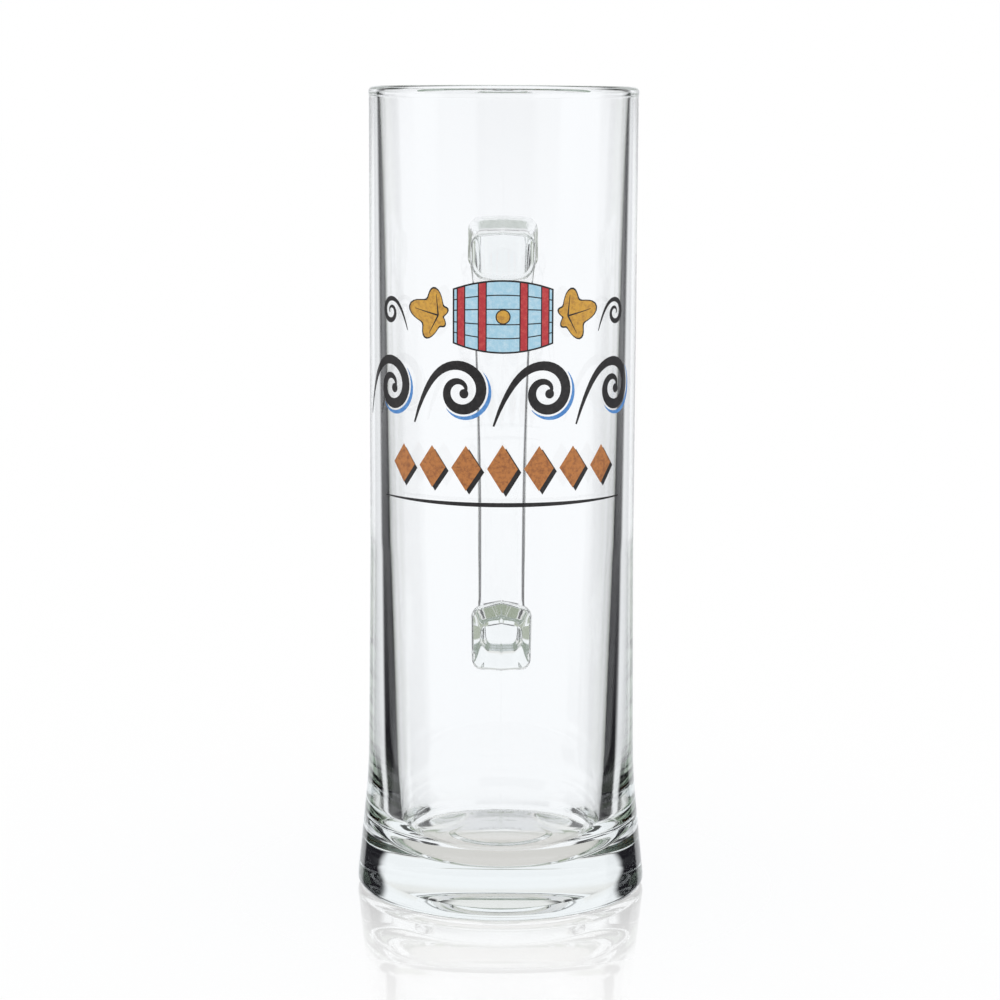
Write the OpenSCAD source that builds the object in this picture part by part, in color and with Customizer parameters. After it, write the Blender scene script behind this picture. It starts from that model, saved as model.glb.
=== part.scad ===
// Tall glass beer mug with a strap handle, a flared foot and an enamel print on its front.
// Millimetres, +Z up, origin on the mug's axis at the table. The handle is on +Y and the print on -Y.

/* [Vessel] */
// Height from the table to the top of the lip
height = 213; // [200:1:230]
// Outside diameter of the straight upper wall
wall_d = 70; // [64:1:80]
// Glass thickness just under the lip
rim_wall = 2.4; // [1.8:0.1:3]
// Glass thickness that the wall would have at the top without its taper to the lip
upper_wall = 3.4; // [3:0.1:4.6]
// Glass thickness at the height where the draft begins
mid_wall = 5.1; // [4.6:0.1:6]
// Glass thickness above the inside floor, measured in from the straight wall
lower_wall = 7.2; // [6:0.1:9]
// Height over which the wall thins towards the lip
lip_taper = 20; // [10:1:26]
// How far the bead of the lip stands past the wall on each side
lip_bead = 0.15; // [0.05:0.05:0.4]
// Glass between the inside floor and the table
floor_t = 9.4; // [8:0.2:16]
// Radius of the fillet between the inside wall and the floor
floor_fillet = 12.6; // [6:0.2:13.4]
// Width of the floor between that fillet and the raised boss in the floor's middle
boss_edge = 0.4; // [0.2:0.1:2]
// Width of the boss's sloping side
boss_slope = 2; // [1:0.1:4]
// Height of the boss above the floor
boss_rise = 1.2; // [0.4:0.1:2]

/* [Foot] */
// Height at which the outside wall starts to widen
draft_top = 94; // [80:1:100]
// Gain of the outside radius by that draft, at the table
draft = 0.94; // [0.2:0.02:1.6]
// Height at which the foot starts to flare
flare_h = 31; // [24:1:40]
// Gain of the outside radius by the flare, at the table
flare = 2.95; // [1:0.05:5]
// Softness of the bend into the flare
flare_blend = 3; // [2:0.5:5]
// Radius of the rounded edge under the foot
foot_edge = 2.2; // [1:0.1:3]
// Diameter of the shallow hollow under the base
punt_d = 45.4; // [40:0.2:56]
// Depth of that hollow at its middle
punt_depth = 1.2; // [0.6:0.1:3]

/* [Handle] */
// Height of the middle of the upper pad
upper_pad_z = 165.3; // [150:0.1:172]
// Width of the upper pad
upper_pad_w = 18.3; // [14:0.1:22]
// Height of the upper pad
upper_pad_h = 12.8; // [10:0.1:16]
// Height of the middle of the lower pad
lower_pad_z = 59; // [48:0.2:70]
// Width of the lower pad
lower_pad_w = 18.2; // [14:0.1:20]
// Height of the lower pad
lower_pad_h = 18.7; // [12:0.1:20]
// Radius of the fillet where the pads run out on the wall
pad_fillet = 1.2; // [0.6:0.1:2.8]
// Radius of the pads' corners
pad_corner = 2.6; // [1:0.1:4]
// Radius of the two corners under the upper pad
upper_under_corner = 4.6; // [1:0.1:6]
// Clear space for the fingers between the wall and the strap
finger_gap = 30; // [26:1:40]
// Rise of the upper arm's top from its pad to the bend
arm_rise = 2.4; // [0:0.1:4]
// Width of the upper arm at its bend
upper_bend_w = 23; // [14:0.5:25]
// Radius of the upper arm's corners at its bend
upper_bend_corner = 4; // [1:0.1:5]
// Radius of the outside of the upper bend
upper_outer_r = 6; // [4:0.5:9]
// Radius of the inside of the upper bend
upper_inner_r = 8; // [5:0.5:14]
// Thickness of the strap at the seam
strap_t = 9.5; // [7:0.5:12]
// Width of the strap under the upper bend
strap_top_w = 20.4; // [12:0.2:22]
// Width of the strap above the lower bend
strap_low_w = 17; // [12:0.2:20]
// Radius of the strap's corners away from the mug
strap_corner_out = 4.2; // [1:0.1:5]
// Radius of the strap's corners towards the mug
strap_corner_in = 3.2; // [1:0.1:5]
// Drop of the handle's inner faces from the mould's seam in the middle to the sides
crown_in = 2; // [0.5:0.1:2.6]
// Drop of its outer faces from the seam to the sides
crown_out = 0.7; // [0.2:0.1:1.4]
// Width of the lower arm at its bend
lower_bend_w = 17.4; // [12:0.2:20]
// Thickness of the lower arm just before its bend
lower_arm_t = 8.5; // [6:0.5:12]
// Radius of the outside of the lower bend
lower_outer_r = 3; // [2:0.5:6]
// Radius of the inside of the lower bend
lower_inner_r = 2.5; // [1.5:0.5:6]

/* [Print] */
// Thickness of the enamel
print_t = 0.1; // [0.06:0.01:0.2]
// Height of the middle of the barrel
barrel_z = 156.5; // [155.5:0.5:160]
// Half length of the barrel
barrel_half_l = 12.5; // [10:0.5:14]
// Half height of the barrel at its belly
barrel_half_h = 8.8; // [6:0.2:9]
// Length of a leaf beside the barrel
leaf_l = 9; // [7:0.5:11]
// Size of a tendril against a wave scroll
tendril_scale = 0.5; // [0.3:0.05:0.6]
// Height of the middle of the row of wave scrolls
wave_z = 137.5; // [136:0.5:138]
// Number of wave scrolls
wave_count = 4; // [2:1:4]
// Spacing of the wave scrolls along the wall
wave_pitch = 22; // [21:0.2:23]
// Radius of the first turn of a scroll
wave_r = 7.4; // [6:0.2:7.6]
// Height of the middle of the row of lozenges
lozenge_z = 118; // [117:0.2:119]
// Number of lozenges
lozenge_count = 7; // [3:2:9]
// Spacing of the lozenges along the wall
lozenge_pitch = 9.4; // [9:0.2:10]
// Half width of a lozenge
lozenge_half_w = 3.9; // [3:0.1:4]
// Half height of the middle lozenge
lozenge_half_h = 6.2; // [4:0.1:6.6]
// Gap between the tip of the middle lozenge and the line under it
line_gap = 3; // [1.8:0.2:4]
// Half length of that line
line_half_l = 36; // [20:1:40]

/* [Hidden] */
$fn = 96;

glass_tint = [0.86, 0.93, 0.91, 0.5];
wall_r = wall_d / 2;
lip_d = rim_wall + 2 * lip_bead;
lip_z = height - lip_d / 2;
fillet_z = floor_t + floor_fillet;
floor_r = wall_r - lower_wall - floor_fillet;
boss_r = floor_r - boss_edge - boss_slope;
profile_step = 2;
arc_steps = 10;

strap_in = wall_r + finger_gap;
strap_out = strap_in + strap_t;
upper_top = upper_pad_z + upper_pad_h / 2;
upper_under = upper_pad_z - upper_pad_h / 2;
lower_top = lower_pad_z + lower_pad_h / 2;
lower_under = lower_pad_z - lower_pad_h / 2;
pad_sink = 2.4;
pad_bite = 0.15;
fillet_rings = 4;
arm_rings = 4;
bend_rings = 8;
strap_rings = 6;
corner_steps = 4;
face_steps = 3;
least_side = 0.1;
hug_reach = finger_gap / 3;

outline_w = 0.45;
fine_line = 0.3;
line_z = lozenge_z - lozenge_half_h - line_gap;
print_margin = 10;

// Profile of the vessel

function softly_over(x, blend) = blend * ln(1 + exp(x / blend));

// Outside radius at a height: straight wall, then the draft, then the flare of the foot
function outer_r(z) = wall_r + draft * max(0, 1 - z / draft_top)
    + flare / flare_h * (z < draft_top ? softly_over(flare_h - z, flare_blend) : 0);

// Glass thickness measured in from the straight wall
function wall_t(z) = z > draft_top
    ? mid_wall + (upper_wall - mid_wall) * (z - draft_top) / (height - draft_top)
    : lower_wall + (mid_wall - lower_wall) * (z - fillet_z) / (draft_top - fillet_z);

function inner_r(z) = wall_r - wall_t(z) + (upper_wall - rim_wall) * exp((z - height) / lip_taper);

function quarter(cx, cy, rx, ry, from) =
    [for (i = [0:arc_steps]) let (a = from + 90 * i / arc_steps) [cx + rx * cos(a), cy + ry * sin(a)]];

function outside_points() = concat(
    quarter(outer_r(foot_edge) - foot_edge, foot_edge, foot_edge, foot_edge, -90),
    [for (z = [foot_edge + profile_step:profile_step:flare_h + 6 * flare_blend]) [outer_r(z), z]],
    [[wall_r, draft_top], [wall_r, lip_z]]);

function inside_points() = concat(
    [[wall_r - rim_wall, lip_z]],
    [for (drop = [lip_d:lip_taper / 6:3 * lip_taper]) [inner_r(height - drop), height - drop]],
    [[inner_r(draft_top), draft_top]],
    [for (i = [0:arc_steps]) let (a = -90 * i / arc_steps)
        [floor_r + (inner_r(fillet_z) - floor_r) * cos(a), fillet_z + floor_fillet * sin(a)]],
    [[boss_r + boss_slope, floor_t], [boss_r, floor_t + boss_rise], [0, floor_t + boss_rise]]);

// Hollow under the base, a shallow bowl from its middle out to the contact ring
function punt_points() =
    [for (i = [0:arc_steps]) let (s = i / arc_steps) [punt_d / 2 * s, punt_depth * (1 - s * s)]];

module outer_form() {
    rotate_extrude() polygon(concat([[0, 0]], outside_points(), [[0, lip_z]]));
}

module glass_body() {
    color(glass_tint) rotate_extrude() union() {
        polygon(concat(outside_points(), inside_points(), punt_points()));
        translate([wall_r - rim_wall / 2, lip_z]) circle(d = lip_d);
    }
}

// Handle: rings of a section with rounded corners, ridged at the seam, along arm, bend, strap, bend and arm

function eased(t) = let (c = min(1, max(0, t))) c * c * (3 - 2 * c);
function mixed(a, b, t) = a + (b - a) * t;
function turn(a) = [cos(a), sin(a)];
function backwards(list) = [for (i = [len(list) - 1:-1:0]) list[i]];

// Half of one face, from the strap's side round its corner and up the slope towards the ridge.
// The corner is as large as the thickness allows, and no larger than asked
function half_face(half_w, half_t, drop, corner) =
    let (slope = atan(drop / half_w),
         room = (half_t - drop - least_side) / (1 / cos(slope) - drop / half_w),
         r = min(corner, room),
         middle = [half_w - r, half_t - drop * (half_w - r) / half_w - r / cos(slope)],
         last = middle[0] + r * sin(slope))
    concat([for (i = [0:corner_steps]) middle + r * turn((90 - slope) * i / corner_steps)],
           [for (i = [1:face_steps - 1]) let (x = last * (1 - i / face_steps))
               [x, half_t - drop * x / half_w]]);

// Points round the strap: across it, and out from its middle surface. Corners are [outer, inner]
function section(half_w, half_t, corners) =
    let (outer = half_face(half_w, half_t, crown_out, corners[0]),
         inner = half_face(half_w, half_t, crown_in, corners[1]))
    concat(outer, [[0, half_t]], [for (p = backwards(outer)) [-p[0], p[1]]],
           [for (p = inner) -p], [[0, -half_t]], [for (p = backwards(inner)) [p[0], -p[1]]]);

// Extra half size of a pad at a distance from the wall. The fillet meets the wall at a clear angle
function run_out(d) = let (c = min(pad_fillet, max(0, d + pad_bite)))
    pad_fillet - sqrt(pow(pad_fillet, 2) - pow(pad_fillet - c, 2));

// A ring between a point on the inside and one on the outside of the handle, both given as [y, z].
// It may be grown on all sides, and bent to follow the round of a wall of radius hug_r
function ring(inside, outside, half_w, corners, grow = 0, hug_r = wall_r, hug = 0) =
    let (half_t = norm(outside - inside) / 2, out = (outside - inside) / (2 * half_t))
    [for (p = section(half_w + grow, half_t + grow, corners + [grow, grow]))
        let (c = (inside + outside) / 2 + p[1] * out)
        [p[0], c[0] - hug * (hug_r - sqrt(pow(hug_r, 2) - pow(p[0], 2))), c[1]]];

// Rings of an arm from inside the wall, out through its pad's fillet and on to its bend
pad_offsets = concat([-pad_sink], [for (i = [0:fillet_rings]) pad_fillet * i / fillet_rings - pad_bite]);
function hugging(d) = d < -pad_bite ? 0 : 1 - eased(d / hug_reach);
function arm(pad_r, z_in, z_out, bend_in, bend_out, widths, pad_corners, last_corners) = concat(
    [for (d = pad_offsets)
        ring([pad_r + d, z_in], [pad_r + d, z_out], widths[0] / 2, pad_corners,
             run_out(d), pad_r, hugging(d))],
    [for (i = [1:arm_rings]) let (t = i / (arm_rings + 1), d = mixed(pad_fillet, bend_in[0] - pad_r, t))
        ring(mixed([pad_r + pad_fillet, z_in], bend_in, t), mixed([pad_r + pad_fillet, z_out], bend_out, t),
             mixed(widths[0], widths[1], t * t) / 2, mixed(pad_corners, last_corners, eased(t)),
             0, pad_r, hugging(d))]);

// Rings of a bend from its arm to the strap. Its inside and its outside turn about middles of their own
function bend(middle_in, r_in, sweep_in, middle_out, r_out, sweep_out, widths, arm_corners) =
    [for (i = [0:bend_rings]) let (t = i / bend_rings)
        ring(middle_in + r_in * turn(sweep_in * (1 - t)), middle_out + r_out * turn(sweep_out * (1 - t)),
             mixed(widths[0], widths[1], eased(t)) / 2, mixed(arm_corners, strap_corners, eased(t)))];

upper_pad_corners = [pad_corner, upper_under_corner];
lower_pad_corners = [pad_corner, pad_corner];
upper_bend_corners = [upper_bend_corner, upper_bend_corner];
strap_corners = [strap_corner_out, strap_corner_in];

upper_in = [strap_in - upper_inner_r, upper_under - upper_inner_r];
upper_out = [strap_out - upper_outer_r, upper_top + arm_rise - upper_outer_r];
upper_arm = arm(wall_r, upper_under, upper_top, upper_in + [0, upper_inner_r], upper_out + [0, upper_outer_r],
                [upper_pad_w, upper_bend_w], upper_pad_corners, upper_bend_corners);
upper_bend = bend(upper_in, upper_inner_r, 90, upper_out, upper_outer_r, 90,
                  [upper_bend_w, strap_top_w], upper_bend_corners);

// The top of the lower arm slopes down from its pad, and touches the inside of the bend
lower_pad_r = outer_r(lower_pad_z);
lower_in = [strap_in - lower_inner_r, lower_under + lower_arm_t + lower_inner_r];
lower_out = [strap_out - lower_outer_r, lower_under + lower_outer_r];
slope_run = lower_in - [lower_pad_r + pad_fillet, lower_top];
lower_slope = asin(lower_inner_r / norm(slope_run)) - atan2(slope_run[1], slope_run[0]);
lower_turn = -90 - lower_slope;
lower_arm = arm(lower_pad_r, lower_top, lower_under, lower_in + lower_inner_r * turn(lower_turn),
                lower_out - [0, lower_outer_r], [lower_pad_w, lower_bend_w],
                lower_pad_corners, strap_corners);
lower_bend = bend(lower_in, lower_inner_r, lower_turn, lower_out, lower_outer_r, -90,
                  [lower_bend_w, strap_low_w], strap_corners);

strap = [for (i = [1:strap_rings]) let (t = i / (strap_rings + 1))
    ring([strap_in, mixed(upper_in[1], lower_in[1], t)], [strap_out, mixed(upper_out[1], lower_out[1], t)],
         mixed(strap_low_w, strap_top_w, pow(1 - t, 3)) / 2, strap_corners)];

module swept(rings) {
    n = len(rings[0]);
    last = len(rings) - 1;
    sides = [for (k = [0:last - 1], i = [0:n - 1]) let (j = (i + 1) % n)
        each [[k * n + i, k * n + j, (k + 1) * n + j], [k * n + i, (k + 1) * n + j, (k + 1) * n + i]]];
    caps = [[for (i = [n - 1:-1:0]) i], [for (i = [0:n - 1]) last * n + i]];
    polyhedron([for (ring = rings) each ring], concat(sides, caps));
}

module handle() {
    color(glass_tint) difference() {
        swept(concat(upper_arm, upper_bend, strap, backwards(concat(lower_arm, lower_bend))));
        outer_form();
    }
}

// Print: flat shapes given along and up the wall, wrapped on it as a thin layer

function wrapped(points) = [for (p = points) [wall_r * sin(p[0] / wall_r * 180 / PI), p[1]]];
function moved(points, by) = [for (p = points) p + by];

module enamel(tint) {
    low = line_z - print_margin;
    color(tint) intersection() {
        translate([0, 0, low]) difference() {
            cylinder(r = wall_r + print_t, h = lip_z - low);
            translate([0, 0, -1]) cylinder(r = wall_r, h = lip_z - low + 2);
        }
        rotate([90, 0, 0]) linear_extrude(wall_d) children();
    }
}

// Barrel: a lying cask with a belly, grown by e on every side
barrel_steps = [for (i = [-8:8]) i / 8];
function belly(u) = barrel_half_h - barrel_half_h / 4 * pow(u / barrel_half_l, 2);
function barrel_edge(e) = [for (s = barrel_steps) let (u = (barrel_half_l + e) * s) [u, belly(u) + e]];
function barrel_points(e) =
    moved(concat(barrel_edge(e), [for (p = backwards(barrel_edge(e))) [p[0], -p[1]]]), [0, barrel_z]);
hoop_half_w = 0.85;
hoop_places = [for (side = [-1, 1], share = [0.42, 0.86]) side * share * barrel_half_l];
stave_levels = [-0.62, -0.22, 0.22, 0.62];
bung_r = 1.6;

module barrel(e = 0) polygon(wrapped(barrel_points(e)));

module hoops(e = 0) {
    for (u = hoop_places) let (w = hoop_half_w + e, h = barrel_half_h + 1)
        polygon(wrapped(moved([[u - w, -h], [u + w, -h], [u + w, h], [u - w, h]], [0, barrel_z])));
}

function stave_edge(level, rise) =
    [for (s = barrel_steps) let (u = barrel_half_l * s) [u, barrel_z + level * belly(u) + rise]];
module stave_lines() for (level = stave_levels)
    polygon(wrapped(concat(stave_edge(level, fine_line / 2), backwards(stave_edge(level, -fine_line / 2)))));

module bung(e = 0) translate([0, barrel_z]) circle(r = bung_r + e);

// Leaf on each side of the barrel, with five lobes and a vein in each of the large ones, grown by e
leaf_u = barrel_half_l + leaf_l / 2;
leaf_lobes = 5;
leaf_tilt = 12;
leaf_steps = 60;
vein_share = 0.8;
vein_half = 0.22;
function leaf_r(a) = leaf_l * (0.62 + 0.38 * cos(a)) * (0.8 + 0.2 * cos(leaf_lobes * a));
function on_leaf(side, r, a) =
    [side * (leaf_u + r * cos(a + leaf_tilt)), barrel_z + r * sin(a + leaf_tilt)];
module leaves(e = 0) for (side = [-1, 1])
    polygon(wrapped([for (i = [0:leaf_steps - 1]) let (a = 360 * i / leaf_steps)
        on_leaf(side, leaf_r(a) + e, a)]));
module veins() for (side = [-1, 1], lobe = [-1:1]) let (a = 360 / leaf_lobes * lobe)
    polygon(wrapped(stroke([for (i = [0:4]) on_leaf(side, vein_share * leaf_r(a) * i / 4, a)],
                           [for (i = [0:4]) vein_half * (1 - 0.7 * i / 4)])));

// A line of ink that swells and thins along its middle points
function beside(c, i, half) =
    let (a = c[max(0, i - 1)], b = c[min(len(c) - 1, i + 1)], d = (b - a) / norm(b - a))
    c[i] + half * [-d[1], d[0]];
function stroke(c, half) = concat([for (i = [0:len(c) - 1]) beside(c, i, half[i])],
                                  [for (i = [len(c) - 1:-1:0]) beside(c, i, -half[i])]);

// Wave scroll: a rising stroke that rolls over into a spiral
wave_steps = 56;
wave_from = 213;
wave_sweep = 600;
wave_core = 1.2;
wave_tail = 1.08 * wave_r;
wave_thin = 0.25;
wave_thick = 1.35;
shade_gap = 0.5;
shade_w = 1.1;
shade_angle = -45;
shade_steps = 18;
function wave_angle(t) = wave_from - wave_sweep * t;
function wave_radius(t) = wave_core + (wave_r - wave_core) * (1 - t) * 1.08 + wave_tail * exp(-t / 0.04);
function wave_half(t) = wave_thin + (wave_thick - wave_thin) * sin(180 * pow(t, 0.7));
function on_turn(r, a) = r * turn(a);
wave_middle = [for (i = [0:wave_steps]) let (t = i / wave_steps) on_turn(wave_radius(t), wave_angle(t))];
wave_halves = [for (i = [0:wave_steps]) wave_half(i / wave_steps)];
wave_places = [for (i = [0:wave_count - 1]) [(i - (wave_count - 1) / 2) * wave_pitch, wave_z]];

module waves() {
    for (place = wave_places) {
        polygon(wrapped(moved(stroke(wave_middle, wave_halves), place)));
        polygon(wrapped([for (a = [0:15:345]) place + wave_middle[wave_steps] + on_turn(wave_core, a)]));
    }
}

// Tendrils: small scrolls that leave the tips of the leaves
tendril_u = leaf_u + leaf_l + 2 * wave_r * tendril_scale;
module tendrils() for (side = [-1, 1])
    polygon(wrapped([for (p = stroke(tendril_scale * wave_middle, tendril_scale * wave_halves))
        [side * (tendril_u + p[0]), barrel_z + p[1]]]));

// Blue shade along the outside of each scroll, on the side away from the light
shade_reach = 84;
function shade_edge(grow) = [for (i = [0:shade_steps])
    let (a = shade_angle + shade_reach * (1 - 2 * i / shade_steps), t = (wave_from - a) / wave_sweep)
    on_turn(wave_radius(t) + wave_half(t) + shade_gap + grow * cos(a - shade_angle), a)];
shade_points = concat(shade_edge(0), backwards(shade_edge(shade_w)));
module wave_shades() for (place = wave_places) polygon(wrapped(moved(shade_points, place)));

// Lozenges that grow smaller towards the ends of their row
lozenge_step = 0.4;
lozenge_shade = [0.9, -0.9];
lozenge_places = [for (i = [0:lozenge_count - 1]) i - (lozenge_count - 1) / 2];
function lozenge_points(i) = let (h = lozenge_half_h - lozenge_step * abs(i), w = lozenge_half_w)
    moved([[w, 0], [0, h], [-w, 0], [0, -h]], [i * lozenge_pitch, lozenge_z]);
module lozenges(by = [0, 0]) for (i = lozenge_places) polygon(wrapped(moved(lozenge_points(i), by)));

// Line under the row, thickest at its middle
line_steps = 24;
line_thin = 0.15;
line_thick = 0.55;
line_middle = [for (i = [0:line_steps]) [line_half_l * (2 * i / line_steps - 1), line_z]];
line_halves = [for (i = [0:line_steps]) mixed(line_thin, line_thick, sin(180 * i / line_steps))];

module print_black() {
    enamel("black") union() {
        waves();
        polygon(wrapped(stroke(line_middle, line_halves)));
        difference() {
            lozenges(lozenge_shade);
            lozenges();
        }
        difference() {
            barrel(outline_w);
            barrel();
        }
        difference() {
            intersection() {
                barrel();
                union() {
                    hoops(fine_line);
                    stave_lines();
                    bung(fine_line);
                }
            }
            hoops();
            bung();
        }
        difference() {
            leaves(outline_w);
            leaves();
        }
        veins();
        tendrils();
    }
}

module print_blue() {
    enamel("royalblue") wave_shades();
}

module print_light_blue() {
    enamel("lightskyblue") difference() {
        barrel();
        hoops(fine_line);
        stave_lines();
        bung(fine_line);
    }
}

module print_red() {
    enamel("firebrick") intersection() {
        hoops();
        barrel();
    }
}

module print_gold() {
    enamel("goldenrod") union() {
        difference() {
            leaves();
            veins();
        }
        bung();
    }
}

module print_orange() {
    enamel("peru") lozenges();
}

glass_body();
handle();
print_black();
print_blue();
print_light_blue();
print_red();
print_gold();
print_orange();
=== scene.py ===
import math

import bmesh
import bpy
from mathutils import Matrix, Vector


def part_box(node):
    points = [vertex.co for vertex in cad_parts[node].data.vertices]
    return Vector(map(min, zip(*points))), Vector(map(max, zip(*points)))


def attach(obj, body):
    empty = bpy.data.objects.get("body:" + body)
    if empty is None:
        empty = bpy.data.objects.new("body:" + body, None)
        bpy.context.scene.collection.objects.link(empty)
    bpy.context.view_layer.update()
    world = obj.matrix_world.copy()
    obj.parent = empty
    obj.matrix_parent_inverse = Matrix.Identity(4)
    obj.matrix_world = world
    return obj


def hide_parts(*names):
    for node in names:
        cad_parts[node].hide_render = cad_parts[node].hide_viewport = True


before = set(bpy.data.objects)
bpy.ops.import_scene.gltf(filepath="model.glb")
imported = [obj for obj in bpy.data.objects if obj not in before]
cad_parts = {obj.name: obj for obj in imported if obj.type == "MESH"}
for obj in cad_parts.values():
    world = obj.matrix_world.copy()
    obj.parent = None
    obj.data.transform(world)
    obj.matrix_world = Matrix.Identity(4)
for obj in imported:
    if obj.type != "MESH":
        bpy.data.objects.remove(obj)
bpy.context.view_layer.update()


# Glass
# Clear soda-lime glass, pressed in a mould and fire-polished. It is faintly green where it is thick,
# and its inside keeps a fine unevenness from the plunger, which shows most above the floor.
mm = 0.001
pure_white = (1, 1, 1, 1)
glass_ior = 1.52
glass_tint = (0.88, 0.925, 0.925, 1)
glass_tint_density = 10
ripple_scale = 900
ripple_detail = 2
ripple_height = 0.006 * mm
ripple_full_r = 31 * mm
ripple_none_r = 33 * mm
ripple_full_low = 12.5 * mm
ripple_none_low = 10.5 * mm
ripple_full_high = 22 * mm
ripple_none_high = 42 * mm
smear_scale = 40
smear_detail = 3
smear_roughness = 0.02


def put(tree, kind, inputs=None, **settings):
    """Adds a node with its settings, and gives each named input a value or a link."""
    node = tree.nodes.new(kind)
    for name, value in settings.items():
        setattr(node, name, value)
    for key, value in (inputs or {}).items():
        if isinstance(value, bpy.types.NodeSocket):
            tree.links.new(value, node.inputs[key])
        else:
            node.inputs[key].default_value = value
    return node


def maths(tree, operation, *values):
    """A Math node's result."""
    return put(tree, "ShaderNodeMath", dict(enumerate(values)), operation=operation).outputs[0]


def product(tree, first, *others):
    """The product of some values."""
    for value in others:
        first = maths(tree, "MULTIPLY", first, value)
    return first


def soft_share(tree, value, full, none):
    """1 where a value is past full, 0 where it is past none, and smooth between them."""
    return put(tree, "ShaderNodeMapRange", {"Value": value, "From Min": none, "From Max": full},
               interpolation_type="SMOOTHSTEP").outputs["Result"]


def new_material(name):
    """An empty node material and its output node."""
    material = bpy.data.materials.new(name)
    material.use_nodes = True
    material.node_tree.nodes.clear()
    return material, material.node_tree.nodes.new("ShaderNodeOutputMaterial")


glass, glass_end = new_material("pressed_glass")
tree = glass.node_tree
place = put(tree, "ShaderNodeTexCoord").outputs["Object"]
ripple = put(tree, "ShaderNodeTexNoise", {"Vector": place, "Scale": ripple_scale, "Detail": ripple_detail})
spot = put(tree, "ShaderNodeSeparateXYZ", {0: place}).outputs
off_axis = maths(tree, "SQRT", maths(tree, "ADD", product(tree, spot["X"], spot["X"]),
                                     product(tree, spot["Y"], spot["Y"])))
ripple_share = product(tree, soft_share(tree, off_axis, ripple_full_r, ripple_none_r),
                       soft_share(tree, spot["Z"], ripple_full_high, ripple_none_high),
                       soft_share(tree, spot["Z"], ripple_full_low, ripple_none_low))
skin = put(tree, "ShaderNodeBump", {"Height": product(tree, ripple.outputs["Fac"], ripple_share),
                                    "Distance": ripple_height, "Strength": 1})
smear = put(tree, "ShaderNodeTexNoise", {"Vector": place, "Scale": smear_scale, "Detail": smear_detail})
smear_range = put(tree, "ShaderNodeMapRange", {"Value": smear.outputs["Fac"], "To Min": 0,
                                               "To Max": smear_roughness})
surface = put(tree, "ShaderNodeBsdfPrincipled",
              {"Base Color": pure_white, "Transmission Weight": 1, "IOR": glass_ior,
               "Roughness": smear_range.outputs["Result"], "Normal": skin.outputs["Normal"]})
body_tint = put(tree, "ShaderNodeVolumeAbsorption", {"Color": glass_tint, "Density": glass_tint_density})
tree.links.new(surface.outputs[0], glass_end.inputs["Surface"])
tree.links.new(body_tint.outputs[0], glass_end.inputs["Volume"])


# Vessel
# One pressed shell with a thick solid base, a flared foot and a rounded lip. It is turned here from its
# half section. A fine seam from the mould runs up the side that has the handle.
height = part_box("glass_body")[1].z
wall_r = 35 * mm
rim_wall = 2.4 * mm
upper_wall = 3.4 * mm
mid_wall = 5.1 * mm
lower_wall = 7.2 * mm
lip_taper = 20 * mm
lip_bead = 0.15 * mm
lip_spread = 0.6 * mm
lip_zone = 4 * mm
floor_t = 9.4 * mm
floor_fillet = 12.6 * mm
boss_edge = 0.4 * mm
boss_slope = 2 * mm
boss_rise = 1.2 * mm
draft_top = 94 * mm
draft = 0.94 * mm
flare_h = 31 * mm
flare = 2.95 * mm
flare_blend = 3 * mm
foot_edge = 2.2 * mm
punt_r = 22.7 * mm
punt_depth = 1.2 * mm
fillet_z = floor_t + floor_fillet
floor_r = wall_r - lower_wall - floor_fillet
boss_foot = floor_r - boss_edge
lip_r = rim_wall / 2 + lip_bead
lip_z = height - lip_r
lip_low = lip_z - lip_zone
underside_points = 28
foot_points = 12
outside_points = 120
lip_zone_points = 18
lip_points = 18
inside_points = 110
fillet_points = 26
boss_side_points = 12
boss_top_points = 8


def outer_r(z):
    """Outside radius at a height: straight wall, then the draft, then the flare of the foot."""
    if z >= draft_top:
        return wall_r
    bend = flare_blend * math.log(1 + math.exp((flare_h - z) / flare_blend))
    return wall_r + draft * (1 - z / draft_top) + flare / flare_h * bend


def inner_r(z):
    """Inside radius at a height above the floor's fillet. The wall thins towards the lip."""
    if z > draft_top:
        wall = mid_wall + (upper_wall - mid_wall) * (z - draft_top) / (height - draft_top)
    else:
        wall = lower_wall + (mid_wall - lower_wall) * (z - fillet_z) / (draft_top - fillet_z)
    return wall_r - wall + (upper_wall - rim_wall) * math.exp((z - height) / lip_taper)


def bead(z):
    """How far the lip's bead swells the wall at a height below its middle."""
    return lip_bead * math.exp(-((lip_z - z) / lip_spread) ** 2)


def steps(first, last, count):
    """Evenly spaced values from first to last."""
    return [first + (last - first) * i / (count - 1) for i in range(count)]


def arc(middle_r, middle_z, radius_r, radius_z, first, last, count):
    """Points of an elliptic arc in the half section, from one angle in degrees to another."""
    turns = [math.radians(a) for a in steps(first, last, count)]
    return [(middle_r + radius_r * math.cos(a), middle_z + radius_z * math.sin(a)) for a in turns]


underside = [(r, punt_depth * (1 - (r / punt_r) ** 2)) for r in steps(0, punt_r, underside_points)]
foot = arc(outer_r(foot_edge) - foot_edge, foot_edge, foot_edge, foot_edge, -90, 0, foot_points)
outside_levels = steps(foot_edge, lip_low, outside_points)[1:] + steps(lip_low, lip_z, lip_zone_points)[1:]
outside = [(outer_r(z) + bead(z), z) for z in outside_levels]
lip = arc(wall_r - rim_wall / 2, lip_z, lip_r, lip_r, 0, 180, lip_points)[1:-1]
inside_levels = steps(lip_z, lip_low, lip_zone_points)[:-1] + steps(lip_low, fillet_z, inside_points)[:-1]
inside = [(inner_r(z) - bead(z), z) for z in inside_levels]
fillet = arc(floor_r, fillet_z, inner_r(fillet_z) - floor_r, floor_fillet, 0, -90, fillet_points)
boss_side = [(boss_foot - boss_slope * (1 - math.cos(a)) / 2, floor_t + boss_rise * a / math.pi)
             for a in steps(0, math.pi, boss_side_points)]
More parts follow.
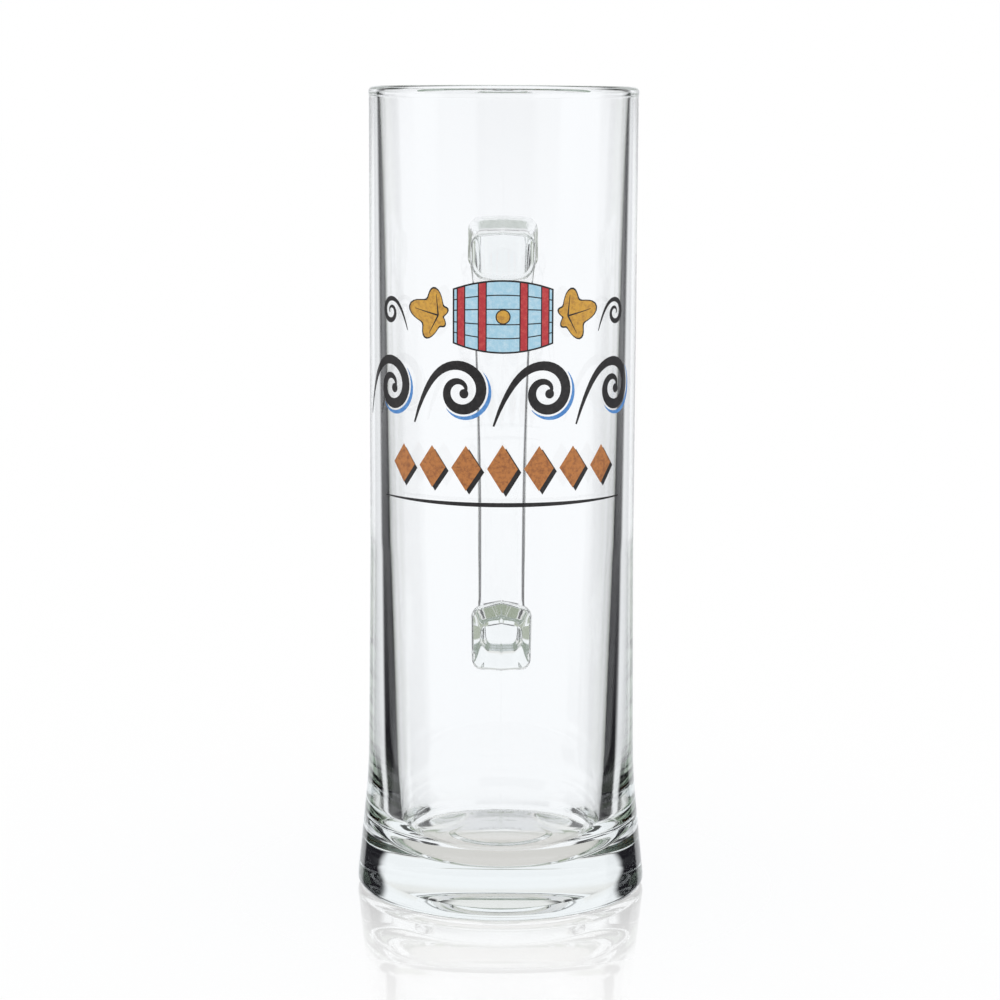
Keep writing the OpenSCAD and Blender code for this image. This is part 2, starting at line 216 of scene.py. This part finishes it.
boss_top = [(r, floor_t + boss_rise) for r in steps(boss_foot - boss_slope, 0, boss_top_points)[1:]]
section = underside + foot + outside + lip + inside + fillet + boss_side + boss_top
first_outside = len(underside) + len(foot)
first_inside = first_outside + len(outside) + len(lip)

seam_height = 0.10 * mm
seam_half_w = 0.22 * mm
seam_crowding = 0.9
turn_segments = 320
wave_height = 0.01 * mm
wave_scale = 2.6
wave_detail = 1
wave_stretch = 12
noise_middle = 0.5
half_point = 0.5
weld = 0.001 * mm


def turned_tree():
    """Geometry nodes that turn a half section round the Z axis, with a seam on the +Y side."""
    tree = bpy.data.node_groups.new("turned_round_the_axis", "GeometryNodeTree")
    ports = tree.interface
    ports.new_socket("Half section", in_out="INPUT", socket_type="NodeSocketGeometry")
    for name, kind in (("Segments", "NodeSocketInt"), ("Crowding", "NodeSocketFloat"),
                       ("Seam height", "NodeSocketFloat"), ("Seam half width", "NodeSocketFloat"),
                       ("Waves", "NodeSocketFloat"), ("Material", "NodeSocketMaterial")):
        ports.new_socket(name, in_out="INPUT", socket_type=kind)
    ports.new_socket("Shell", in_out="OUTPUT", socket_type="NodeSocketGeometry")
    given = put(tree, "NodeGroupInput").outputs
    points = put(tree, "GeometryNodeAttributeDomainSize", {0: given["Half section"]}).outputs["Point Count"]
    columns = maths(tree, "ADD", given["Segments"], 1)
    grid = put(tree, "GeometryNodeMeshGrid", {"Vertices X": columns, "Vertices Y": points}).outputs["Mesh"]
    index = put(tree, "GeometryNodeInputIndex").outputs[0]
    along = maths(tree, "MODULO", index, points)
    column = maths(tree, "FLOOR", maths(tree, "DIVIDE", maths(tree, "ADD", index, half_point), points))
    turn = product(tree, maths(tree, "DIVIDE", column, given["Segments"]), 2 * math.pi)
    crowd = product(tree, maths(tree, "SINE", turn), given["Crowding"])
    from_seam = maths(tree, "SUBTRACT", maths(tree, "ADD", turn, crowd), math.pi)
    angle = maths(tree, "ADD", from_seam, math.pi / 2)
    cosine = maths(tree, "COSINE", angle)
    sine = maths(tree, "SINE", angle)

    def sampled(value, kind):
        """A value at this point's place in the half section."""
        node = put(tree, "GeometryNodeSampleIndex", {"Geometry": given["Half section"]}, data_type=kind)
        tree.links.new(value, node.inputs["Value"])
        tree.links.new(along, node.inputs["Index"])
        return node.outputs[0]

    def share(name):
        """A share that the half section's points carry."""
        node = put(tree, "GeometryNodeInputNamedAttribute", {"Name": name}, data_type="FLOAT")
        return sampled(node.outputs["Attribute"], "FLOAT")

    section_place = sampled(put(tree, "GeometryNodeInputPosition").outputs[0], "FLOAT_VECTOR")
    spot = put(tree, "ShaderNodeSeparateXYZ", {0: section_place}).outputs
    off = maths(tree, "DIVIDE", product(tree, from_seam, spot["X"]), given["Seam half width"])
    ridge = maths(tree, "EXPONENT", product(tree, off, off, -1))
    lift = product(tree, ridge, given["Seam height"], share("seam"))
    across = put(tree, "ShaderNodeCombineXYZ",
                 {"X": cosine, "Y": sine, "Z": product(tree, spot["Z"], wave_stretch)}).outputs[0]
    noise = put(tree, "ShaderNodeTexNoise", {"Vector": across, "Scale": wave_scale, "Detail": wave_detail})
    sway = maths(tree, "SUBTRACT", noise.outputs["Fac"], noise_middle)
    wave = product(tree, sway, given["Waves"], share("wave"))
    radius = maths(tree, "ADD", maths(tree, "ADD", spot["X"], lift), wave)
    position = put(tree, "ShaderNodeCombineXYZ", {"X": product(tree, radius, cosine),
                                                  "Y": product(tree, radius, sine), "Z": spot["Z"]})
    shell = put(tree, "GeometryNodeSetPosition", {"Geometry": grid, "Position": position.outputs[0]})
    closed = put(tree, "GeometryNodeMergeByDistance", {"Geometry": shell.outputs[0], "Distance": weld})
    real = put(tree, "GeometryNodeRealizeInstances", {"Geometry": closed.outputs[0]})
    done = put(tree, "GeometryNodeSetMaterial",
               {"Geometry": real.outputs[0], "Material": given["Material"]})
    put(tree, "NodeGroupOutput", {"Shell": done.outputs[0]})
    return tree


def show(name, data):
    """A new object in the scene that holds a mesh or a camera."""
    obj = bpy.data.objects.new(name, data)
    bpy.context.scene.collection.objects.link(obj)
    return obj


def plain(obj):
    """The evaluated mesh of an object, and the object removed."""
    graph = bpy.context.evaluated_depsgraph_get()
    mesh = bpy.data.meshes.new_from_object(obj.evaluated_get(graph), depsgraph=graph)
    bpy.data.objects.remove(obj)
    return mesh


def with_inputs(obj, tree, values):
    """A geometry nodes modifier on an object, with its named inputs set by their identifiers."""
    modifier = obj.modifiers.new(tree.name, "NODES")
    modifier.node_group = tree
    for item in tree.interface.items_tree:
        if item.in_out == "INPUT" and item.name in values:
            modifier[item.identifier] = values[item.name]


def outwards(mesh):
    """Makes the faces of a closed mesh point outwards."""
    shape = bmesh.new()
    shape.from_mesh(mesh)
    bmesh.ops.recalc_face_normals(shape, faces=shape.faces)
    shape.to_mesh(mesh)
    shape.free()


half_section = bpy.data.meshes.new("half_section")
half_section.from_pydata([(r, 0, z) for r, z in section], [(i, i + 1) for i in range(len(section) - 1)], [])
seam_share = half_section.attributes.new("seam", "FLOAT", "POINT")
wave_share = half_section.attributes.new("wave", "FLOAT", "POINT")
for i, (r, z) in enumerate(section):
    on_outside = first_outside <= i < first_outside + len(outside) and z < lip_low
    on_inside = first_inside <= i < first_inside + len(inside) and z < lip_low
    seam_share.data[i].value = 1 if on_outside else 0
    wave_share.data[i].value = 1 if on_inside else 0
vessel = show("vessel", half_section)
with_inputs(vessel, turned_tree(),
            {"Segments": turn_segments, "Crowding": seam_crowding, "Seam height": seam_height,
             "Seam half width": seam_half_w, "Waves": wave_height, "Material": glass})
vessel = show("mug_glass", plain(vessel))
outwards(vessel.data)


# Handle
# A strap of the same glass, pressed with the vessel and fused to the wall at an upper and a lower pad.
# The mould's two halves part along its middle, so its faces slope off from a ridge with the seam on it.
upper_pad_z = 165.3 * mm
upper_pad_w = 18.3 * mm
upper_pad_h = 12.8 * mm
lower_pad_z = 59 * mm
lower_pad_w = 18.2 * mm
lower_pad_h = 18.7 * mm
pad_fillet = 1.2 * mm
strap_t = 9.5 * mm
crown_in = 2 * mm
crown_out = 0.7 * mm
upper_bend_w = 23 * mm
strap_top_w = 20.4 * mm
strap_low_w = 17 * mm
lower_bend_w = 17.4 * mm
lower_arm_t = 8.5 * mm
upper_outer_r = 6 * mm
lower_outer_r = 3 * mm
upper_inner_r = 8 * mm
lower_inner_r = 2.5 * mm
arm_rise = 2.4 * mm
upper_pad_corners = (2.6 * mm, 4.6 * mm)
lower_pad_corners = (2.6 * mm, 2.6 * mm)
bend_corners = (4 * mm, 4 * mm)
strap_corners = (4.2 * mm, 3.2 * mm)
least_side = 0.1 * mm
pad_bite = 0.15 * mm
pad_sink = 2.4 * mm
hug_reach = 10 * mm
arm_flare_power = 2
strap_taper_power = 3
strap_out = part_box("handle")[1].y
strap_in = strap_out - strap_t
upper_top = upper_pad_z + upper_pad_h / 2
upper_under = upper_pad_z - upper_pad_h / 2
lower_top = lower_pad_z + lower_pad_h / 2
lower_under = lower_pad_z - lower_pad_h / 2
fillet_rings = 11
arm_rings = 18
bend_rings = 22
strap_rings = 40
corner_steps = 9
face_shares = (0.03, 0.15, 0.3, 0.45, 0.6, 0.72)
seam_places = (2.4, 1.5, 1, 0.6, 0.3)
glass_crease = math.radians(18)


def eased(t):
    """Smooth step from 0 to 1."""
    t = min(1, max(0, t))
    return t * t * (3 - 2 * t)


def mixed(a, b, t):
    """A value on the way from one value to another."""
    return a + (b - a) * t


def between(a, b, t):
    """A pair on the way from one pair to another, such as two points seen from the side."""
    return (mixed(a[0], b[0], t), mixed(a[1], b[1], t))


def half_face(half_w, top, drop, corner):
    """Half of one face, from the strap's side round its corner and up the slope to the ridge."""
    slope = math.atan2(drop, half_w)
    room = (top - drop - least_side) / (1 / math.cos(slope) - drop / half_w)
    corner = min(corner, room)
    middle_x = half_w - corner
    middle_out = top - drop * middle_x / half_w - corner / math.cos(slope)
    points = [(middle_x + corner * math.cos(a), middle_out + corner * math.sin(a))
              for a in steps(0, math.pi / 2 - slope, corner_steps)]
    last_x = points[-1][0]
    up_the_slope = [last_x * (1 - share) for share in face_shares]
    on_the_seam = [seam_half_w * place for place in seam_places]
    for x in up_the_slope + on_the_seam:
        points.append((x, top - drop * x / half_w + seam_height * math.exp(-(x / seam_half_w) ** 2)))
    return points


def strap_section(half_w, half_t, corners):
    """Points round the strap: across it, and out from its middle surface."""
    outer = half_face(half_w, half_t, crown_out, corners[0])
    inner = half_face(half_w, half_t, crown_in, corners[1])
    ridge = half_t + seam_height
    upper_half = outer + [(0, ridge)] + [(-x, out) for x, out in outer[::-1]]
    lower_half = [(-x, -out) for x, out in inner] + [(0, -ridge)] + [(x, -out) for x, out in inner[::-1]]
    return upper_half + lower_half


def ring(inside, outside, half_w, corners, grow=0, hug_r=wall_r, hug=0):
    """A ring between a point inside and one outside the handle's bow. It may follow a round wall."""
    half_t = math.dist(inside, outside) / 2
    points = []
    for x, out in strap_section(half_w + grow, half_t + grow, [corner + grow for corner in corners]):
        y, z = between(inside, outside, (1 + out / half_t) / 2)
        points.append((x, y - hug * (hug_r - math.sqrt(hug_r ** 2 - x ** 2)), z))
    return points


def run_out(d):
    """Extra half size of a pad at a distance from the wall, from its fillet."""
    c = min(pad_fillet, max(0, d + pad_bite))
    return pad_fillet - math.sqrt(pad_fillet ** 2 - (pad_fillet - c) ** 2)


def hugging(d):
    """How closely a ring follows the round of the wall at a distance from it."""
    return 0 if d < -pad_bite else 1 - eased(d / hug_reach)


def arm(pad_r, z_in, z_out, bend_in, bend_out, widths, pad_corners, last_corners):
    """Rings of an arm from inside the wall, out through its pad's fillet and on to its bend."""
    rings = []
    for d in [-pad_sink] + steps(-pad_bite, pad_fillet - pad_bite, fillet_rings):
        rings.append(ring((pad_r + d, z_in), (pad_r + d, z_out), widths[0] / 2, pad_corners,
                          run_out(d), pad_r, hugging(d)))
    first_in = (pad_r + pad_fillet, z_in)
    first_out = (pad_r + pad_fillet, z_out)
    for t in steps(0, 1, arm_rings)[1:-1]:
        follow = hugging(mixed(pad_fillet, bend_in[0] - pad_r, t))
        half_w = mixed(*widths, t ** arm_flare_power) / 2
        corners = between(pad_corners, last_corners, eased(t))
        rings.append(ring(between(first_in, bend_in, t), between(first_out, bend_out, t), half_w, corners,
                          0, pad_r, follow))
    return rings


def on_turn(middle, radius, angle):
    """A point on a circle seen from the side."""
    return (middle[0] + radius * math.cos(angle), middle[1] + radius * math.sin(angle))


def bend(middle_in, radius_in, sweep_in, middle_out, radius_out, sweep_out, widths, arm_corners):
    """Rings of a bend from its arm to the strap, from the sweep of its inside and of its outside."""
    rings = []
    for t in steps(0, 1, bend_rings):
        half_w = mixed(*widths, eased(t)) / 2
        rings.append(ring(on_turn(middle_in, radius_in, sweep_in * (1 - t)),
                          on_turn(middle_out, radius_out, sweep_out * (1 - t)), half_w,
                          between(arm_corners, strap_corners, eased(t))))
    return rings


square = math.pi / 2
upper_in = (strap_in - upper_inner_r, upper_under - upper_inner_r)
upper_out = (strap_out - upper_outer_r, upper_top + arm_rise - upper_outer_r)
upper = arm(wall_r, upper_under, upper_top, on_turn(upper_in, upper_inner_r, square),
            on_turn(upper_out, upper_outer_r, square), (upper_pad_w, upper_bend_w), upper_pad_corners,
            bend_corners)
upper += bend(upper_in, upper_inner_r, square, upper_out, upper_outer_r, square,
              (upper_bend_w, strap_top_w), bend_corners)

lower_pad_r = outer_r(lower_pad_z)
lower_in = (strap_in - lower_inner_r, lower_under + lower_arm_t + lower_inner_r)
lower_out = (strap_out - lower_outer_r, lower_under + lower_outer_r)
slope_run = lower_in[0] - lower_pad_r - pad_fillet
slope_drop = lower_top - lower_in[1]
slope_length = math.hypot(slope_run, slope_drop)
lower_slope = math.asin(lower_inner_r / slope_length) + math.atan2(slope_drop, slope_run)
lower_turn = -square - lower_slope
lower = arm(lower_pad_r, lower_top, lower_under, on_turn(lower_in, lower_inner_r, lower_turn),
            on_turn(lower_out, lower_outer_r, -square), (lower_pad_w, lower_bend_w), lower_pad_corners,
            strap_corners)
lower += bend(lower_in, lower_inner_r, lower_turn, lower_out, lower_outer_r, -square,
              (lower_bend_w, strap_low_w), strap_corners)
strap = []
for t in steps(0, 1, strap_rings)[1:-1]:
    half_w = mixed(strap_low_w, strap_top_w, (1 - t) ** strap_taper_power) / 2
    strap.append(ring((strap_in, mixed(upper_in[1], lower_in[1], t)),
                      (strap_out, mixed(upper_out[1], lower_out[1], t)), half_w, strap_corners))
rings = upper + strap + lower[::-1]

sides = len(rings[0])
vertices = [point for points in rings for point in points]
faces = [list(range(sides)), list(range((len(rings) - 1) * sides, len(rings) * sides))]
for k in range(len(rings) - 1):
    for i in range(sides):
        j = (i + 1) % sides
        faces.append([k * sides + i, k * sides + j, (k + 1) * sides + j, (k + 1) * sides + i])
handle_mesh = bpy.data.meshes.new("handle_loft")
handle_mesh.from_pydata(vertices, [], faces)
outwards(handle_mesh)
handle_mesh.materials.append(glass)
handle_loft = show("handle_loft", handle_mesh)

fusing = vessel.modifiers.new("fused", "BOOLEAN")
fusing.operation = "UNION"
fusing.solver = "MANIFOLD"
fusing.object = handle_loft
mug_glass = show("mug_glass", plain(vessel))
bpy.data.objects.remove(handle_loft)


def smooth_with_creases(mesh, angle):
    """Smooth shading that stops at edges sharper than an angle."""
    shape = bmesh.new()
    shape.from_mesh(mesh)
    for face in shape.faces:
        face.smooth = True
    for edge in shape.edges:
        edge.smooth = len(edge.link_faces) == 2 and edge.calc_face_angle(0) < angle
    shape.to_mesh(mesh)
    shape.free()


smooth_with_creases(mug_glass.data, glass_crease)
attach(mug_glass, "root")
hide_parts("glass_body", "handle")


# Print
# Ceramic enamels, screen-printed on the wall one colour after another and fired on. Each colour is a thin
# raised layer of its own, a little uneven in thickness, and mottled where it is thin.
print_depth = 0.03 * mm
print_rise = 0.06 * mm
layer_crease = math.radians(30)
grain_detail = 4
fine_grain_ratio = 5
fine_grain_detail = 2
coarse_share = 0.6
thin_from = 0.42
thin_to = 0.66
least_roughness = 0.22
most_roughness = 0.5
relief_height = 0.02 * mm
relief_strength = 0.6
enamel_specular = 0.4

# Each enamel's colour, its colour where it is thin, the strength of its mottle and the scale of its grain
enamels = {
    "black": ((0.010, 0.009, 0.010), (0.032, 0.029, 0.03), 0.7, 900),
    "blue": ((0.06, 0.22, 0.56), (0.16, 0.38, 0.72), 0.7, 700),
    "light_blue": ((0.36, 0.61, 0.76), (0.56, 0.74, 0.84), 0.8, 800),
    "red": ((0.46, 0.03, 0.04), (0.62, 0.09, 0.08), 0.7, 900),
    "gold": ((0.66, 0.36, 0.05), (0.36, 0.17, 0.04), 0.8, 1100),
    "orange": ((0.5, 0.19, 0.05), (0.26, 0.09, 0.03), 0.9, 1000),
}


def mixed_colour(tree, share, first, second, blend="MIX"):
    """Two colours mixed. The node has several sockets of each name, so they are taken by number."""
    node = put(tree, "ShaderNodeMix", {0: share, 6: first, 7: second}, data_type="RGBA", blend_type=blend)
    return node.outputs[2]


def enamel_group():
    """Shader nodes for an enamel layer: its mottled colour, its roughness and its height."""
    tree = bpy.data.node_groups.new("fired_enamel", "ShaderNodeTree")
    ports = tree.interface
    for name, kind in (("Colour", "NodeSocketColor"), ("Thin colour", "NodeSocketColor"),
                       ("Mottle", "NodeSocketFloat"), ("Grain scale", "NodeSocketFloat")):
        ports.new_socket(name, in_out="INPUT", socket_type=kind)
    for name, kind in (("Colour", "NodeSocketColor"), ("Roughness", "NodeSocketFloat"),
                       ("Height", "NodeSocketFloat")):
        ports.new_socket(name, in_out="OUTPUT", socket_type=kind)
    given = put(tree, "NodeGroupInput").outputs
    place = put(tree, "ShaderNodeTexCoord").outputs["Object"]
    coarse = put(tree, "ShaderNodeTexNoise",
                 {"Vector": place, "Scale": given["Grain scale"], "Detail": grain_detail})
    fine_scale = product(tree, given["Grain scale"], fine_grain_ratio)
    fine = put(tree, "ShaderNodeTexNoise",
               {"Vector": place, "Scale": fine_scale, "Detail": fine_grain_detail})
    blotch = maths(tree, "ADD", product(tree, coarse.outputs["Fac"], coarse_share),
                   product(tree, fine.outputs["Fac"], 1 - coarse_share))
    thin = product(tree, soft_share(tree, blotch, thin_to, thin_from), given["Mottle"])
    colour = mixed_colour(tree, thin, given["Colour"], given["Thin colour"])
    roughness = put(tree, "ShaderNodeMapRange",
                    {"Value": blotch, "To Min": least_roughness, "To Max": most_roughness})
    put(tree, "NodeGroupOutput",
        {"Colour": colour, "Roughness": roughness.outputs["Result"], "Height": blotch})
    return tree


enamel_nodes = enamel_group()


def enamel(name, colour, thin_colour, mottle, grain_scale):
    """A fired enamel of one colour, paler or darker where the layer is thin."""
    material, end = new_material(name)
    tree = material.node_tree
    group = put(tree, "ShaderNodeGroup",
                {"Colour": (*colour, 1), "Thin colour": (*thin_colour, 1), "Mottle": mottle,
                 "Grain scale": grain_scale}, node_tree=enamel_nodes)
    bump = put(tree, "ShaderNodeBump", {"Height": group.outputs["Height"], "Distance": relief_height,
                                        "Strength": relief_strength})
    surface = put(tree, "ShaderNodeBsdfPrincipled",
                  {"Base Color": group.outputs["Colour"], "Roughness": group.outputs["Roughness"],
                   "Normal": bump.outputs["Normal"], "Specular IOR Level": enamel_specular})
    tree.links.new(surface.outputs[0], end.inputs["Surface"])
    return material


def layer_mesh(node_name):
    """A copy of a printed layer's solid, let into the glass a little and raised a little from it."""
    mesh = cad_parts[node_name].data.copy()
    shape = bmesh.new()
    shape.from_mesh(mesh)
    bmesh.ops.remove_doubles(shape, verts=shape.verts, dist=weld)
    middle_r = wall_r + print_depth
    for vertex in shape.verts:
        r = math.hypot(vertex.co.x, vertex.co.y)
        new_r = wall_r + print_rise if r > middle_r else wall_r - print_depth
        vertex.co.x *= new_r / r
        vertex.co.y *= new_r / r
    shape.to_mesh(mesh)
    shape.free()
    return mesh


for colour_name, recipe in enamels.items():
    layer = show("enamel_" + colour_name, layer_mesh("print_" + colour_name))
    layer.data.materials.clear()
    layer.data.materials.append(enamel("enamel_" + colour_name, *recipe))
    smooth_with_creases(layer.data, layer_crease)
    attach(layer, "root")
    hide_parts("print_" + colour_name)


# Table
# A sheet of white glossy acrylic. It mirrors the foot, fading with the distance, and keeps a faint soft
# shadow of the mug. Under the base, a grey glowing disc seen only through the glass is a painted shadow.
table_r = 6000 * mm
table_drop = 0.2 * mm
mirror_r = 37 * mm
mirror_reach = 50 * mm
mirror_share = 0.4
mirror_roughness = 0.02
shadow_share = 0.08
shade_r = 34 * mm
painted_shadow_colour = (0.68, 0.67, 0.645, 1)
disc_segments = 96


def disc(name, radius, z, material):
    """A flat disc on the axis at a height."""
    mesh = bpy.data.meshes.new(name)
    shape = bmesh.new()
    bmesh.ops.create_circle(shape, cap_ends=True, segments=disc_segments, radius=radius)
    bmesh.ops.translate(shape, verts=shape.verts, vec=(0, 0, z))
    shape.to_mesh(mesh)
    shape.free()
    mesh.materials.append(material)
    return show(name, mesh)


acrylic, acrylic_end = new_material("white_acrylic")
tree = acrylic.node_tree
place = put(tree, "ShaderNodeTexCoord").outputs["Object"]
distance = put(tree, "ShaderNodeVectorMath", {0: place}, operation="LENGTH").outputs["Value"]
away = maths(tree, "DIVIDE", maths(tree, "SUBTRACT", distance, mirror_r), mirror_reach)
fade = maths(tree, "EXPONENT", product(tree, maths(tree, "MAXIMUM", away, 0), -1))
path = put(tree, "ShaderNodeLightPath").outputs
seen_in_glass = maths(tree, "MAXIMUM", path["Is Glossy Ray"], path["Is Transmission Ray"])
seen = maths(tree, "MAXIMUM", path["Is Camera Ray"], seen_in_glass)
matt = put(tree, "ShaderNodeBsdfDiffuse", {"Color": pure_white})
bright = put(tree, "ShaderNodeEmission", {"Color": pure_white, "Strength": 1})
white = put(tree, "ShaderNodeMixShader", {0: product(tree, seen, 1 - shadow_share),
                                          1: matt.outputs[0], 2: bright.outputs[0]})
mirror = put(tree, "ShaderNodeBsdfGlossy", {"Color": pure_white, "Roughness": mirror_roughness})
blend = put(tree, "ShaderNodeMixShader", {0: product(tree, fade, mirror_share),
                                          1: white.outputs[0], 2: mirror.outputs[0]})
tree.links.new(blend.outputs[0], acrylic_end.inputs["Surface"])
table = disc("table", table_r, -table_drop, acrylic)
table.visible_transmission = False
table.visible_glossy = False

# Painted shadow: a disc glowing grey, seen only by light through the glass, stands for the table in the
# base's shade
shade, shade_end = new_material("painted_shadow_acrylic")
glow = put(shade.node_tree, "ShaderNodeEmission", {"Color": painted_shadow_colour, "Strength": 1})
shade.node_tree.links.new(glow.outputs[0], shade_end.inputs["Surface"])
table_shade = disc("table_shade", shade_r, -table_drop / 2, shade)
table_shade.visible_camera = False
table_shade.visible_diffuse = False
table_shade.visible_glossy = False
table_shade.visible_shadow = False


# Light
# An even white studio with a warm grey ceiling. Dark cards and grey boards stand round the table outside
# the picture. Only the glass shows them, at its edges and in its base: what lies straight behind stays
# white. Light that goes round and round inside the thick glass comes out dim and green.
studio_colour = (0.965, 0.98, 1, 1)
ceiling_low = 20
ceiling_high = 26
ceiling_colour = (0.86, 0.855, 0.84, 1)
zenith_low = 35
zenith_high = 65
zenith_colour = (0.71, 0.71, 0.735, 1)
lost_from = 5.5
lost_to = 7.5
lost_colour = (0.4, 0.45, 0.36, 1)

# Each card or board by the azimuth of its middle, its half width, its bottom and its top, in degrees
cards = (
    (29, 24, -36, -8),
    (46, 9, -20, 4),
    (25, 20, 2, 29),
    (144, 20, -36, -8),
    (133, 9, -20, 4),
    (155, 20, 2, 29),
    (56, 18, 30, 40),
    (124, 18, 30, 40),
    (254.5, 42.5, -2, 26),
    (180, 12, -36, -20),
    (88, 16, -46, -24),
)
lip_cards = ((76, 8, -46, -22), (104, 8, -46, -22))
card_colour = (0.012, 0.011, 0.014, 1)
card_soft = 3.5
top_boards = ((88, 40, 46, 66),)
top_board_colour = (0.25, 0.3, 0.2, 1)
side_boards = ((65.5, 14, -23, -1), (114.5, 14, -23, -1))
side_board_colour = (0.38, 0.42, 0.33, 1)

# Surfaces that light crosses in one wall and in both walls, and the elevation below which it comes from low
one_wall = 2
both_walls = 4
low_behind = -10
half_count = 0.5

scene = bpy.context.scene
world = bpy.data.worlds.new("white_studio")
scene.world = world
world.use_nodes = True
tree = world.node_tree
tree.nodes.clear()
direction = put(tree, "ShaderNodeTexCoord").outputs["Generated"]
spot = put(tree, "ShaderNodeSeparateXYZ", {0: direction}).outputs
azimuth = maths(tree, "DEGREES", maths(tree, "ARCTAN2", spot["Y"], spot["X"]))
elevation = maths(tree, "DEGREES", maths(tree, "ARCSINE", spot["Z"]))
path = put(tree, "ShaderNodeLightPath").outputs
surfaces = path["Transmission Depth"]
turns = path["Glossy Depth"]


def card_mask(middle, half_w, low, high):
    """1 on one card or board, 0 off it, with soft edges."""
    off = maths(tree, "ABSOLUTE", maths(tree, "WRAP", maths(tree, "SUBTRACT", azimuth, middle), 180, -180))
    level = maths(tree, "ABSOLUTE", maths(tree, "SUBTRACT", elevation, (low + high) / 2))
    half_h = (high - low) / 2
    return product(tree, soft_share(tree, off, half_w - card_soft, half_w + card_soft),
                   soft_share(tree, level, half_h - card_soft, half_h + card_soft))


def on_any(places):
    """1 on any of some cards or boards."""
    mask = card_mask(*places[0])
    for place in places[1:]:
        mask = maths(tree, "MAXIMUM", mask, card_mask(*place))
    return mask


both_off = maths(tree, "ABSOLUTE", maths(tree, "SUBTRACT", surfaces, both_walls))
one_off = maths(tree, "ADD", maths(tree, "GREATER_THAN", elevation, low_behind),
                maths(tree, "ABSOLUTE", maths(tree, "SUBTRACT", surfaces, one_wall)))
straight_off = maths(tree, "ADD", maths(tree, "MINIMUM", both_off, one_off), turns)
not_straight = maths(tree, "GREATER_THAN", straight_off, half_count)
through_one = maths(tree, "LESS_THAN", one_off, half_count)
through_both = maths(tree, "LESS_THAN", both_off, half_count)
turned = product(tree, through_both, maths(tree, "GREATER_THAN", turns, half_count))
dark = maths(tree, "MAXIMUM", product(tree, on_any(cards), not_straight),
             product(tree, on_any(lip_cards), through_one))
studio = mixed_colour(tree, soft_share(tree, elevation, ceiling_high, ceiling_low), studio_colour,
                      ceiling_colour)
studio = mixed_colour(tree, soft_share(tree, elevation, zenith_high, zenith_low), studio, zenith_colour)
studio = mixed_colour(tree, on_any(top_boards), studio, top_board_colour)
studio = mixed_colour(tree, dark, studio, card_colour)
studio = mixed_colour(tree, product(tree, on_any(side_boards), turned), studio, side_board_colour)
studio = mixed_colour(tree, soft_share(tree, turns, lost_to, lost_from), studio, lost_colour, "MULTIPLY")
seen_plain = maths(tree, "MAXIMUM", path["Is Camera Ray"], path["Is Diffuse Ray"])
studio = mixed_colour(tree, seen_plain, studio, pure_white)
sky = put(tree, "ShaderNodeBackground", {"Color": studio, "Strength": 1})
put(tree, "ShaderNodeOutputWorld", {"Surface": sky.outputs[0]})


# Camera
# It stands about 0.7 m straight in front of the print, a little above the lip and looking down, with the
# handle behind the mug. Light may pass many surfaces of the glass before it is lost.
camera_place = (-1.05 * mm, -711.7 * mm, 222.4 * mm)
camera_tilt = math.radians(80.58)
camera_roll = math.radians(-0.24)
camera_lens = 97.68
sensor_w = 36
glass_bounces = 48
mirror_bounces = 32

camera_data = bpy.data.cameras.new("camera")
camera_data.lens = camera_lens
camera_data.sensor_width = sensor_w
camera = show("camera", camera_data)
camera.location = camera_place
camera.rotation_euler = (camera_tilt, camera_roll, 0)
scene.camera = camera
scene.view_settings.view_transform = "Standard"
scene.cycles.max_bounces = glass_bounces
scene.cycles.transmission_bounces = glass_bounces
scene.cycles.glossy_bounces = mirror_bounces
